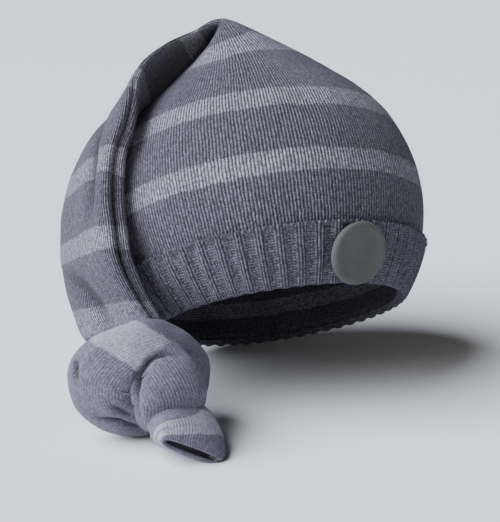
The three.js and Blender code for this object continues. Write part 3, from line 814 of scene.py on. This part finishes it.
def makeFelt():
    material, tree = startMaterial("pressedWoolFelt")
    place = addNode(tree, "ShaderNodeTexCoord", give="Object")
    fibre = addNode(tree, "ShaderNodeTexNoise",
                    {"Vector": place, "Scale": 1000 / felt["fibreSize"], "Detail": 3.0, "Roughness": 0.7})
    cloud = addNode(tree, "ShaderNodeTexNoise",
                    {"Vector": place, "Scale": 1000 / felt["mottleSize"], "Detail": 3.0})
    mottle = addNode(tree, "ShaderNodeMapRange",
                     {"Value": cloud, "From Min": 0.3, "From Max": 0.7, "To Max": 0.6})
    speck = addNode(tree, "ShaderNodeMapRange",
                    {"Value": fibre, "From Min": 0.4, "From Max": 0.75, "To Max": 0.5})
    tone = addNode(tree, "ShaderNodeMix",
                   {0: mottle, 6: linearColour(felt["base"]), 7: linearColour(felt["deep"])}, **asColour)
    tone = addNode(tree, "ShaderNodeMix", {0: speck, 6: tone, 7: linearColour(felt["pale"])}, **asColour)
    relief = addNode(tree, "ShaderNodeBump",
                     {"Height": fibre, "Strength": 0.7, "Distance": felt["fibreDepth"] / 1000})
    shader = addNode(tree, "ShaderNodeBsdfPrincipled", {
        "Base Color": tone, "Normal": relief, "Roughness": 0.85, "IOR": 1.5,
        "Specular IOR Level": 0.3, "Sheen Weight": 0.2, "Sheen Roughness": 0.4,
        "Sheen Tint": linearColour(felt["sheen"]),
    })
    addNode(tree, "ShaderNodeOutputMaterial", {"Surface": shader})
    return material


button = {
    "diameter": 22.5,
    "thickness": 3.0,
    "seatGap": 0.3,
    "longitude": 14.0,
    "latitude": -30.0,
    "sides": 160,
    "rings": 61,
    "wales": 60,
    # shares of radius and thickness, from the back over the rounded rim to the dished face
    "profile": [
        (0.02, 0), (0.5, 0), (0.86, 0), (0.93, 0.08), (0.97, 0.22), (1, 0.45),
        (0.995, 0.65), (0.97, 0.83), (0.93, 0.95), (0.88, 1), (0.82, 1), (0.76, 0.96),
        (0.7, 0.93), (0.55, 0.89), (0.35, 0.87), (0.02, 0.86),
    ],
}


def makeButton():
    seat = ballSize + cap["clearance"] * 2 + cuff["thickness"] + button["seatGap"]
    facing = ballPoint(1, button["latitude"], button["longitude"])
    side = unit(np.cross(crownAxis, facing))
    up = np.cross(facing, side)
    stations = np.linspace(0, len(button["profile"]) - 1, button["rings"])
    outs, heights = threaded([(out, height, 0) for out, height in button["profile"]], stations)[:, :2].T
    angle = np.arange(button["sides"]) * 2 * np.pi / button["sides"]
    spoke = (np.cos(angle)[:, None] * side + np.sin(angle)[:, None] * up) * button["diameter"] / 2
    rings = closedEnds(np.array([facing * (seat + height * button["thickness"]) + spoke * out
                                 for out, height in zip(outs, heights)]))
    skin = gridSkin(rings, button["wales"], evenCourses(rings))
    addPiece("felt_button", [skin], [makeFelt()], ["button"])


makeButton()
print("pieces made")


# Plain pale floor, soft light from the upper left, and the camera
studio = {
    "floor": "#eceef0",
    "floorReach": 60.0,    # metres
    "cameraAt": (-139.1, -409.5, 125.2),   # mm in the cap's frame
    "cameraTurn": -17.3,
    "cameraPitch": 13.5,
    "lens": 80.76,
    "room": "#e0dcd8",
    "horizon": 0.55,       # how bright the room is at eye level; it fades out a little above
    # kind, place in metres, power, colour, and a sun's or spot's angle in degrees or a panel's width
    "lights": {
        "window": ("SUN", (-0.9, 0.05, 0.8), 8.7, "#eff4ff", 60),
        "room": ("AREA", (-0.72, -0.75, 0.35), 3.2, "#fff4ea", 0.9),
        "card": ("SPOT", (-0.06, -0.42, 0.17), 25.0, "#fff8f0", 9),
    },
    # mm from the crown's centre: the card throws a little light in under the fold at the peak
    "cardAim": (-36.0, 0.0, 60.0),
    "cardSoftness": 0.07,
}


def addFloor():
    level = (crownCentre[2] - cap["floorDrop"]) / 1000
    reach = studio["floorReach"]
    mesh = bpy.data.meshes.new("floor")
    corners = [(-reach, -reach, level), (reach, -reach, level), (reach, reach, level), (-reach, reach, level)]
    mesh.from_pydata(corners, [], [(0, 1, 2, 3)])
    floor = bpy.data.objects.new("floor", mesh)
    bpy.context.scene.collection.objects.link(floor)
    # matt paint, rolled on
    material, tree = startMaterial("mattRolledPaint")
    shader = addNode(tree, "ShaderNodeBsdfPrincipled", {
        "Base Color": linearColour(studio["floor"]), "Roughness": 0.8, "Specular IOR Level": 0.1,
    })
    addNode(tree, "ShaderNodeOutputMaterial", {"Surface": shader})
    mesh.materials.append(material)


def addLights():
    for name, (kind, place, power, colour, size) in studio["lights"].items():
        data = bpy.data.lights.new(name, kind)
        target = crownCentre
        if kind == "SUN":
            data.angle = math.radians(size)
        elif kind == "SPOT":
            data.spot_size, data.spot_blend = math.radians(size), 1.0
            data.shadow_soft_size = studio["cardSoftness"]
            target = crownCentre + headed(studio["cardAim"])
        else:
            data.shape, data.size = "DISK", size
        data.energy = power
        data.color = linearColour(colour)[:3]
        light = bpy.data.objects.new(name, data)
        light.location = Vector(place)
        aim = Vector(target / 1000) - light.location
        light.rotation_euler = aim.to_track_quat("-Z", "Y").to_euler()
        bpy.context.scene.collection.objects.link(light)


def addCamera():
    data = bpy.data.cameras.new("camera")
    data.lens = studio["lens"]
    data.sensor_width = 36.0
    camera = bpy.data.objects.new("camera", data)
    camera.location = Vector(studio["cameraAt"]) / 1000
    turn, pitch = math.radians(studio["cameraTurn"]), math.radians(90 - studio["cameraPitch"])
    camera.rotation_euler = (pitch, 0, turn)
    bpy.context.scene.collection.objects.link(camera)
    bpy.context.scene.camera = camera


# The room around: pale at eye level, dim above
def addRoom():
    world = bpy.data.worlds.new("room")
    bpy.context.scene.world = world
    world.use_nodes = True
    tree = world.node_tree
    tree.nodes.clear()
    direction = addNode(tree, "ShaderNodeTexCoord", give="Generated")
    height = addNode(tree, "ShaderNodeSeparateXYZ", {0: direction}, give="Z")
    glow = addNode(tree, "ShaderNodeMapRange", {
        "Value": height, "From Min": 0.04, "From Max": 0.35, "To Min": studio["horizon"], "To Max": 0.03,
    }, interpolation_type="SMOOTHSTEP")
    backdrop = addNode(tree, "ShaderNodeBackground",
                       {"Color": linearColour(studio["room"]), "Strength": glow})
    addNode(tree, "ShaderNodeOutputWorld", {"Surface": backdrop})


addFloor()
addCamera()
addLights()
addRoom()
print("studio set")
